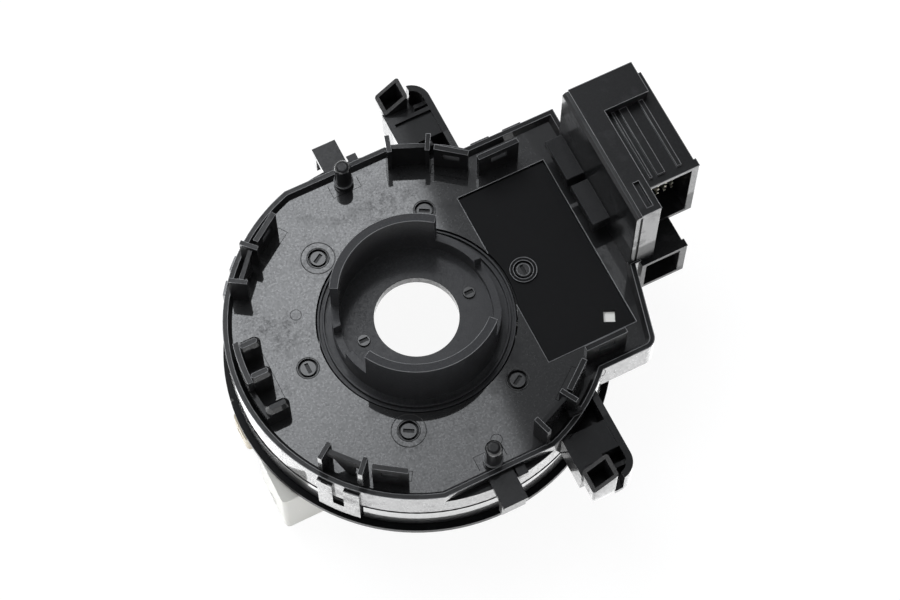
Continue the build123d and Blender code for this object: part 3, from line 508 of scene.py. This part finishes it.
NODE_FINISH = {
    "rear_case": "case",
    "cable_housing": "housing",
    "sensor_lid": "lid",
    "sensor_board": "board",
    "hall_sensors": "magnet",
    "case_screws": "pin",
    "rotor_case": "rotor",
    "cancel_cam": "cam",
    "hub_screws": "pin",
    "drive_gear": "acetal",
    "sensor_gear_a": "acetal",
    "sensor_gear_b": "acetal",
    "magnet_a": "magnet",
    "magnet_b": "magnet",
    "flat_cable": "film",
    "inner_cable_holder": "acetal",
    "outer_cable_holder": "acetal",
    "connector_block": "block",
    "upper_shroud": "block",
    "upper_terminals": "brass",
    "lower_shroud": "block",
    "lower_terminals": "brass",
    "airbag_connector": "cream",
    "airbag_terminals": "brass",
    "switch_connector": "beige",
    "switch_terminals": "brass",
}


# ------------------------------------------------------------------ mesh helpers
def add_piece(name, mesh, material, body):
    """Puts a mesh into the scene as a named piece that rides on a body."""
    piece = bpy.data.objects.new(name, mesh)
    bpy.context.scene.collection.objects.link(piece)
    mesh.materials.clear()
    mesh.materials.append(material)
    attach(piece, body)
    return piece


def body_of_node(node):
    """The name of the body that carries a CAD node."""
    for body, nodes in frame["record"]["behaviour"]["bodies"].items():
        if node in nodes:
            return body
    raise RuntimeError("no body holds " + node)


def merged_copy(node):
    """A welded copy of a CAD node's mesh, its flat faces joined."""
    shape = bmesh.new()
    shape.from_mesh(frame["nodes"][node].data)
    bmesh.ops.remove_doubles(shape, verts=shape.verts, dist=2e-6)
    bmesh.ops.dissolve_limit(
        shape,
        angle_limit=math.radians(0.6),
        verts=shape.verts,
        edges=shape.edges,
        use_dissolve_boundaries=False,
    )
    mesh = bpy.data.meshes.new(node + "_copy")
    shape.to_mesh(mesh)
    shape.free()
    return mesh


def rounded_edges(mesh, width):
    """The mesh with its sharp edges rounded to the width, in metres."""
    mesh.polygons.foreach_set("use_smooth", [True] * len(mesh.polygons))
    mesh.set_sharp_from_angle(angle=SHARP_ANGLE)
    holder = bpy.data.objects.new("rounding", mesh)
    bpy.context.scene.collection.objects.link(holder)
    rounding = holder.modifiers.new("rounding", "BEVEL")
    rounding.width = width
    rounding.segments = 3
    rounding.limit_method = "ANGLE"
    rounding.angle_limit = SHARP_ANGLE
    rounding.use_clamp_overlap = True
    rounding.loop_slide = True
    flats = holder.modifiers.new("flats", "WEIGHTED_NORMAL")
    flats.mode = "FACE_AREA"
    flats.weight = 60
    flats.keep_sharp = True
    bpy.context.view_layer.update()
    evaluated = holder.evaluated_get(bpy.context.evaluated_depsgraph_get())
    result = bpy.data.meshes.new_from_object(evaluated)
    bpy.data.objects.remove(holder)
    return result


# ------------------------------------------------------------------ details grown by Geometry Nodes
def geometry_group(name, sizes):
    """A Geometry Nodes tree with named inputs, and its input sockets by name."""
    group = bpy.data.node_groups.new(name, "GeometryNodeTree")
    group.interface.new_socket("Geometry", in_out="INPUT", socket_type="NodeSocketGeometry")
    for size in sizes:
        group.interface.new_socket(size, in_out="INPUT", socket_type="NodeSocketFloat")
    group.interface.new_socket("Material", in_out="INPUT", socket_type="NodeSocketMaterial")
    group.interface.new_socket("Geometry", in_out="OUTPUT", socket_type="NodeSocketGeometry")
    graph = Graph(group)
    entry = group.nodes.new("NodeGroupInput")
    return graph, {socket.name: Socket(group, socket) for socket in entry.outputs if socket.name}


def finish_group(graph, shape, inputs):
    """Ends a tree in Realize Instances and Set Material."""
    real = graph.node("GeometryNodeRealizeInstances", Geometry=shape)
    done = graph.node("GeometryNodeSetMaterial", Geometry=real, Material=inputs["Material"])
    leave = graph.tree.nodes.new("NodeGroupOutput")
    graph.tree.links.new(done.socket, leave.inputs[0])
    return graph.tree


def swept(graph, line, thickness, capped=False):
    """A round wire of that thickness along a curve."""
    wire = graph.node(
        "GeometryNodeCurvePrimitiveCircle", Resolution=WIRE_SIDES, Radius=thickness * 0.5
    )
    return graph.node(
        "GeometryNodeCurveToMesh", Curve=line, Profile_Curve=wire, Fill_Caps=capped
    )


def bead_group():
    """A round bead along the edges of the mesh."""
    graph, inputs = geometry_group("bead", ("Thickness",))
    line = graph.node("GeometryNodeMeshToCurve", Mesh=inputs["Geometry"])
    bead = swept(graph, line, inputs["Thickness"], capped=True)
    return finish_group(graph, bead, inputs)


def ring_group():
    """A round-edged ring lying flat on each point of the mesh."""
    graph, inputs = geometry_group("ring", ("Radius", "Thickness"))
    around = graph.node(
        "GeometryNodeCurvePrimitiveCircle", Resolution=RING_SIDES, Radius=inputs["Radius"]
    )
    ring = swept(graph, around, inputs["Thickness"])
    rings = graph.node("GeometryNodeInstanceOnPoints", Points=inputs["Geometry"], Instance=ring)
    return finish_group(graph, rings, inputs)


def latch_line_group():
    """The outline of a rectangle on each point, its depth pointing away from the axis."""
    graph, inputs = geometry_group("latch line", ("Length", "Depth", "Thickness"))
    outline = graph.node(
        "GeometryNodeCurvePrimitiveQuadrilateral", Width=inputs["Depth"], Height=inputs["Length"]
    )
    frame_line = swept(graph, outline, inputs["Thickness"])
    outward = graph.node(
        "ShaderNodeVectorMath",
        {"operation": "MULTIPLY"},
        i0=graph.node("GeometryNodeInputPosition"),
        i1=(1.0, 1.0, 0.0),
    )
    turn = graph.node("FunctionNodeAlignRotationToVector", {"axis": "X"}, Vector=outward)
    lines = graph.node(
        "GeometryNodeInstanceOnPoints",
        Points=inputs["Geometry"],
        Instance=frame_line,
        Rotation=turn,
    )
    return finish_group(graph, lines, inputs)


def grown(name, points, edges, group, material, **sizes):
    """The plain mesh that a Geometry Nodes tree makes of points and edges in millimetres."""
    mesh = bpy.data.meshes.new(name)
    mesh.from_pydata([[c / 1000 for c in point] for point in points], edges, [])
    holder = bpy.data.objects.new(name + "_seed", mesh)
    bpy.context.scene.collection.objects.link(holder)
    growth = holder.modifiers.new("growth", "NODES")
    growth.node_group = group
    values = {key: size / 1000 for key, size in sizes.items()}
    values["Material"] = material
    for item in group.interface.items_tree:
        if item.item_type == "SOCKET" and item.in_out == "INPUT" and item.name in values:
            growth[item.identifier] = values[item.name]
    bpy.context.view_layer.update()
    evaluated = holder.evaluated_get(bpy.context.evaluated_depsgraph_get())
    result = bpy.data.meshes.new_from_object(evaluated)
    bpy.data.objects.remove(holder)
    result.polygons.foreach_set("use_smooth", [True] * len(result.polygons))
    return result


def add_rings(name, places, group, material, radius, thickness, body="case"):
    """Adds one piece with a ring lying on each place."""
    mesh = grown(name, places, [], group, material, Radius=radius, Thickness=thickness)
    add_piece(name, mesh, material, body)


def chain(points, height):
    """Points at a height and the edges that join them in turn."""
    return [(x, y, height) for x, y in points], [(i, i + 1) for i in range(len(points) - 1)]


def top_edges(node, height):
    """The sharp edges of a CAD node at a height in millimetres, as points and edges."""
    shape = bmesh.new()
    mesh = merged_copy(node)
    shape.from_mesh(mesh)
    bpy.data.meshes.remove(mesh)
    level = [
        edge
        for edge in shape.edges
        if all(abs(v.co.z * 1000 - height) < LEVEL_TOLERANCE for v in edge.verts)
        and len(edge.link_faces) == 2
        and edge.calc_face_angle() > HIGHLIGHT_ANGLE
    ]
    corners = sorted({v.index for edge in level for v in edge.verts})
    order = {index: number for number, index in enumerate(corners)}
    shape.verts.ensure_lookup_table()
    points = [tuple(c * 1000 for c in shape.verts[index].co) for index in corners]
    edges = [tuple(order[v.index] for v in edge.verts) for edge in level]
    shape.free()
    return points, edges


def polar(radius, angle, height):
    """A point at a radius and an angle in degrees round the axis."""
    turn = math.radians(angle)
    return (radius * math.cos(turn), radius * math.sin(turn), height)


# ------------------------------------------------------------------ operators
class CLOCKSPRING_OT_finishes(bpy.types.Operator):
    """Gives every CAD node its finish, and the black mouldings their rounded edges"""

    bl_idname = "clockspring.finishes"
    bl_label = "Finishes and rounded edges"

    def execute(self, context):
        finishes = finish_materials()
        for node, finish in NODE_FINISH.items():
            data = frame["nodes"][node].data
            data.materials.clear()
            data.materials.append(finishes[finish])
        for node, width in EDGE_WIDTHS.items():
            mesh = rounded_edges(merged_copy(node), width / 1000)
            piece = add_piece(node + "_shell", mesh, finishes[NODE_FINISH[node]], body_of_node(node))
            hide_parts(node)
        return {"FINISHED"}


class CLOCKSPRING_OT_plate_rings(bpy.types.Operator):
    """Lips round the case's screws, rings round two of them, a dark ring of painted shade at the
    seam, pale grey rings of painted highlight round the lid's screw, and ejector marks
    """

    bl_idname = "clockspring.plate_rings"
    bl_label = "Rings on the end plate"

    def execute(self, context):
        group = ring_group()
        edge = bpy.data.materials["painted_highlight_grey"]
        gloss = bpy.data.materials["case_black"]
        dull = bpy.data.materials["line_black"]
        on_plate = [angle for angle in SCREW_ANGLES if angle != 0]
        lips = [polar(SCREW_CIRCLE, angle, PLATE_TOP + 0.01) for angle in on_plate]
        add_rings("screw_lips", lips, group, gloss, radius=3.0, thickness=0.3)
        ringed = [polar(SCREW_CIRCLE, angle, PLATE_TOP) for angle in RINGED_SCREWS]
        add_rings("screw_rings", ringed, group, gloss, radius=4.6, thickness=0.28)
        # pale grey rings round the lid's screw: painted highlights
        for radius, height in LID_HIGHLIGHT_RINGS:
            name = f"lid_screw_ring_{round(radius * 100)}"
            middle = [polar(SCREW_CIRCLE, 0, height)]
            add_rings(name, middle, group, edge, radius=radius, thickness=0.24)
        # a very dark matte ring along the seam between case and housing: painted shade
        seam = [(0, 0, SEAM_HEIGHT)]
        add_rings("seam_shade_ring", seam, group, dull, radius=SEAM_RADIUS, thickness=0.4)
        marks = [(x, y, PLATE_TOP) for x, y in EJECTOR_MARKS]
        add_rings("ejector_marks", marks, group, dull, radius=1.5, thickness=0.14)
        return {"FINISHED"}


class CLOCKSPRING_OT_port_pad(bpy.types.Operator):
    """A pale pad in the port of the sensor lid"""

    bl_idname = "clockspring.port_pad"
    bl_label = "Pad in the lid's port"

    def execute(self, context):
        (radius, height), size = PORT_PAD
        middle = Matrix.Translation([c / 1000 for c in polar(radius, PORT_ANGLE, height)])
        turn = Matrix.Rotation(math.radians(PORT_ANGLE), 4, "Z")
        spread = Matrix.Diagonal([c / 1000 for c in size] + [1])
        shape = bmesh.new()
        bmesh.ops.create_cube(shape, size=1.0, matrix=middle @ turn @ spread)
        mesh = bpy.data.meshes.new("port_pad")
        shape.to_mesh(mesh)
        shape.free()
        add_piece("port_pad", mesh, bpy.data.materials["natural_acetal"], "case")
        return {"FINISHED"}


class CLOCKSPRING_OT_rotor_marks(bpy.types.Operator):
    """Shallow rings and ejector marks on the rotor's wheel side"""

    bl_idname = "clockspring.rotor_marks"
    bl_label = "Rings on the rotor disc"

    def execute(self, context):
        group = ring_group()
        black = bpy.data.materials["rotor_black"]
        for radius in ROTOR_RINGS:
            name = f"rotor_ring_{round(radius)}"
            add_rings(name, [(0, 0, 0)], group, black, radius, thickness=0.5, body="rotor")
        marks = [polar(ROTOR_MARK_CIRCLE, angle, 0) for angle in ROTOR_MARK_ANGLES]
        add_rings(
            "rotor_ejector_marks", marks, group, black, radius=2.2, thickness=0.2, body="rotor"
        )
        return {"FINISHED"}


class CLOCKSPRING_OT_plate_lines(bpy.types.Operator):
    """Fine witness lines round the pegs, fingers and latches, and a pale grey bead round the lid
    that paints the highlight along its edge
    """

    bl_idname = "clockspring.plate_lines"
    bl_label = "Lines on the end plate"

    def execute(self, context):
        bead = bead_group()
        edge = bpy.data.materials["painted_highlight_grey"]
        dull = bpy.data.materials["line_black"]
        lower_peg = [(x, -y) for x, y in PEG_LINES]
        for name, line in (
            ("upper_peg_line", PEG_LINES),
            ("lower_peg_line", lower_peg),
            ("finger_line", FINGER_LINES),
        ):
            points, edges = chain(line, PLATE_TOP)
            mesh = grown(name, points, edges, bead, dull, Thickness=LINE_THICKNESS)
            add_piece(name, mesh, dull, "case")
        mesh = grown(
            "latch_lines",
            [polar(LATCH_CIRCLE, angle, PLATE_TOP) for angle in LATCH_ANGLES],
            [],
            latch_line_group(),
            dull,
            Length=10.4,
            Depth=2.8,
            Thickness=LINE_THICKNESS,
        )
        add_piece("latch_lines", mesh, dull, "case")
        # the bead round the lid is pale grey: a painted highlight along the edge of the lid's recess
        near, far, half, gap = LID_BEAD
        upper, upper_edges = chain(((near, gap), (near, half), (far, half), (far, -half)), PLATE_TOP)
        lower, lower_edges = chain(((far, -half), (near, -half), (near, -gap)), PLATE_TOP)
        edges = upper_edges + [(a + len(upper), b + len(upper)) for a, b in lower_edges]
        mesh = grown("lid_highlight_bead", upper + lower, edges, bead, edge, Thickness=0.3)
        add_piece("lid_highlight_bead", mesh, edge, "case")
        return {"FINISHED"}


class CLOCKSPRING_OT_edge_sheen(bpy.types.Operator):
    """Fine pale grey lines along the top edges of the rim, clips and block: painted highlights where
    those edges catch the light
    """

    bl_idname = "clockspring.edge_sheen"
    bl_label = "Painted highlights on top edges"

    def execute(self, context):
        bead = bead_group()
        edge = bpy.data.materials["painted_highlight_grey"]
        for node, height, thickness in HIGHLIGHTED_EDGES:
            points, edges = top_edges(node, height)
            name = f"{node}_edges_{round(height)}"
            mesh = grown(name, points, edges, bead, edge, Thickness=thickness)
            add_piece(name, mesh, edge, body_of_node(node))
        return {"FINISHED"}


# ------------------------------------------------------------------ stage
def floor_material():
    """White to the camera and in reflections, with the object's shadow; clear from behind."""
    pale, shader = new_material("pale_floor")
    seen = shader.node("ShaderNodeLightPath", output=0)
    mirrored = shader.node("ShaderNodeLightPath", output=3)
    through = shader.node("ShaderNodeLightPath", output=6)
    lit = shader.node("ShaderNodeBsdfDiffuse", Color=blend(shader, seen, grey(0.9), grey(0.14)))
    spot = shader.node("ShaderNodeTexCoord", output=3)
    away = shader.node("ShaderNodeVectorMath", {"operation": "LENGTH"}, output=1, i0=spot)
    near_object = away.above(GLOSSY_RADIUS, GLOSSY_FADE)
    reflected = blend(shader, near_object, grey(2.3), grey(0.8))
    bright = shader.node(
        "ShaderNodeEmission",
        Color=blend(shader, mirrored, grey(0.92), reflected),
        Strength=1.0,
    )
    glow = shader.node(
        "ShaderNodeMixShader",
        Fac=seen.larger(mirrored).larger(through),
        i1=shader.node("ShaderNodeEmission", Color=grey(0.0), Strength=0.0),
        i2=bright,
    )
    front = shader.node("ShaderNodeAddShader", i0=lit, i1=glow)
    clear = shader.node("ShaderNodeBsdfTransparent")
    back = shader.node("ShaderNodeNewGeometry", output=6)
    shader.finish(shader.node("ShaderNodeMixShader", Fac=back, i1=front, i2=clear))
    return pale


def build_floor(scene):
    """A round floor with a low backdrop round it, its faces towards the object."""
    shape = bmesh.new()
    bmesh.ops.create_circle(shape, cap_ends=True, segments=64, radius=FLOOR_RADIUS)
    raised = bmesh.ops.extrude_edge_only(shape, edges=list(shape.edges))["geom"]
    for vert in raised:
        if isinstance(vert, bmesh.types.BMVert):
            vert.co.z += BACKDROP_HEIGHT
    for vert in shape.verts:
        vert.co.z += FLOOR_HEIGHT
    for face in shape.faces:
        middle = face.calc_center_median()
        if face.normal.dot(Vector((-middle.x, -middle.y, 0.3))) < 0:
            face.normal_flip()
    mesh = bpy.data.meshes.new("floor")
    shape.to_mesh(mesh)
    shape.free()
    mesh.materials.append(floor_material())
    floor = bpy.data.objects.new("floor", mesh)
    scene.collection.objects.link(floor)


def build_world(scene):
    """Soft light from all round, weaker in reflections."""
    world = bpy.data.worlds.new("studio")
    scene.world = world
    world.use_nodes = True
    room = Graph(world.node_tree)
    mirrored = room.node("ShaderNodeLightPath", output=3)
    ambient = blend(room, mirrored, (0.34, 0.345, 0.35, 1), (0.11, 0.112, 0.115, 1))
    background = room.node("ShaderNodeBackground", Color=ambient, Strength=1.0)
    room.finish(background, "ShaderNodeOutputWorld")


def softbox_material(right, along):
    """The softbox's cloth: dims a little across the panel, then sharply towards one side."""
    cloth, shader = new_material("softbox_cloth")
    place_on_panel = shader.node("ShaderNodeTexCoord", output=3)
    brightness = 1.0
    for (sideways, upwards), start, stop, left_over in PANEL_FADES:
        fading = (right * sideways + along * upwards).normalized()
        across = shader.node(
            "ShaderNodeVectorMath",
            {"operation": "DOT_PRODUCT"},
            output=1,
            i0=place_on_panel,
            i1=tuple(fading),
        )
        remaining = shader.node(
            "ShaderNodeMapRange",
            {"interpolation_type": "SMOOTHSTEP"},
            Value=across,
            From_Min=start + Vector(OBJECT_MIDDLE).dot(fading),
            From_Max=stop + Vector(OBJECT_MIDDLE).dot(fading),
            To_Min=1.0,
            To_Max=left_over,
        )
        brightness = remaining * brightness
    glow = blend(shader, brightness, grey(0.0), (0.94, 0.965, 1.0, 1))
    shader.finish(shader.node("ShaderNodeEmission", Color=glow, Strength=PANEL_STRENGTH))
    return cloth


def build_softbox(scene):
    """A broad overhead panel, hidden from the camera, that the end plate mirrors."""
    right = Vector(PANEL_RIGHT).normalized()
    over = Vector(PANEL_UP).normalized()
    along = over.cross(right)
    middle = Vector(OBJECT_MIDDLE) + over * PANEL_DISTANCE
    near, far = PANEL_REACH
    half = PANEL_HALF_HEIGHT
    corners = [
        middle + right * x + along * y
        for x, y in ((near, -half), (far, -half), (far, half), (near, half))
    ]
    panel = bpy.data.meshes.new("softbox")
    panel.from_pydata(corners, [], [(3, 2, 1, 0)])
    panel.materials.append(softbox_material(right, along))
    softbox = bpy.data.objects.new("softbox", panel)
    scene.collection.objects.link(softbox)
    softbox.visible_camera = False


def build_fill_lamp(scene):
    """A weak lamp from the left that lifts the shaded walls."""
    towards = Vector(FILL_DIRECTION)
    lamp = bpy.data.lights.new("fill", "AREA")
    lamp.energy = FILL_POWER
    lamp.size = FILL_SIZE
    light = bpy.data.objects.new("fill", lamp)
    light.location = Vector(OBJECT_MIDDLE) + towards.normalized() * FILL_DISTANCE
    light.rotation_euler = towards.to_track_quat("Z", "Y").to_euler()
    scene.collection.objects.link(light)


def build_camera(scene):
    """A long lens above the end plate."""
    azimuth, elevation = math.radians(CAMERA_AZIMUTH), math.radians(CAMERA_ELEVATION)
    back_way = Vector(
        (
            math.sin(azimuth) * math.cos(elevation),
            -math.cos(azimuth) * math.cos(elevation),
            math.sin(elevation),
        )
    )
    lens = bpy.data.cameras.new("camera")
    lens.sensor_width = CAMERA_SENSOR
    lens.sensor_fit = "HORIZONTAL"
    lens.lens = CAMERA_LENS
    lens.clip_start = 0.01
    lens.clip_end = 20.0
    camera = bpy.data.objects.new("camera", lens)
    camera.location = Vector(CAMERA_TARGET) + back_way * CAMERA_DISTANCE
    camera.rotation_mode = "QUATERNION"
    camera.rotation_quaternion = back_way.to_track_quat("Z", "Y")
    scene.collection.objects.link(camera)
    scene.camera = camera


class CLOCKSPRING_OT_stage(bpy.types.Operator):
    """Pale floor and backdrop, soft overhead light and the camera"""

    bl_idname = "clockspring.stage"
    bl_label = "Floor, light and camera"

    def execute(self, context):
        scene = context.scene
        scene.view_settings.view_transform = "Standard"
        build_floor(scene)
        build_world(scene)
        build_softbox(scene)
        build_fill_lamp(scene)
        build_camera(scene)
        return {"FINISHED"}


class CLOCKSPRING_PT_panel(bpy.types.Panel):
    bl_idname = "CLOCKSPRING_PT_panel"
    bl_label = "Clock spring"
    bl_space_type = "VIEW_3D"
    bl_region_type = "UI"
    bl_category = "Clock spring"

    def draw(self, context):
        sizes = context.scene.clock_spring
        for name in ("black", "cream", "beige", "polish"):
            self.layout.prop(sizes, name)
        for operator in OPERATORS:
            self.layout.operator(operator.bl_idname)


OPERATORS = (
    CLOCKSPRING_OT_finishes,
    CLOCKSPRING_OT_plate_rings,
    CLOCKSPRING_OT_plate_lines,
    CLOCKSPRING_OT_port_pad,
    CLOCKSPRING_OT_rotor_marks,
    CLOCKSPRING_OT_edge_sheen,
    CLOCKSPRING_OT_stage,
)
CLASSES = (ClockSpringSizes, *OPERATORS, CLOCKSPRING_PT_panel)


def register():
    """Registers the classes and hangs the sizes on the scene."""
    for cls in CLASSES:
        bpy.utils.register_class(cls)
    bpy.types.Scene.clock_spring = PointerProperty(type=ClockSpringSizes)


def unregister():
    """Takes the sizes and the classes away again."""
    del bpy.types.Scene.clock_spring
    for cls in reversed(CLASSES):
        bpy.utils.unregister_class(cls)


def main():
    """Builds every piece in order."""
    register()
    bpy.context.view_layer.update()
    for operator in OPERATORS:
        group, name = operator.bl_idname.split(".")
        getattr(getattr(bpy.ops, group), name)()


if __name__ == "__main__":
    main()
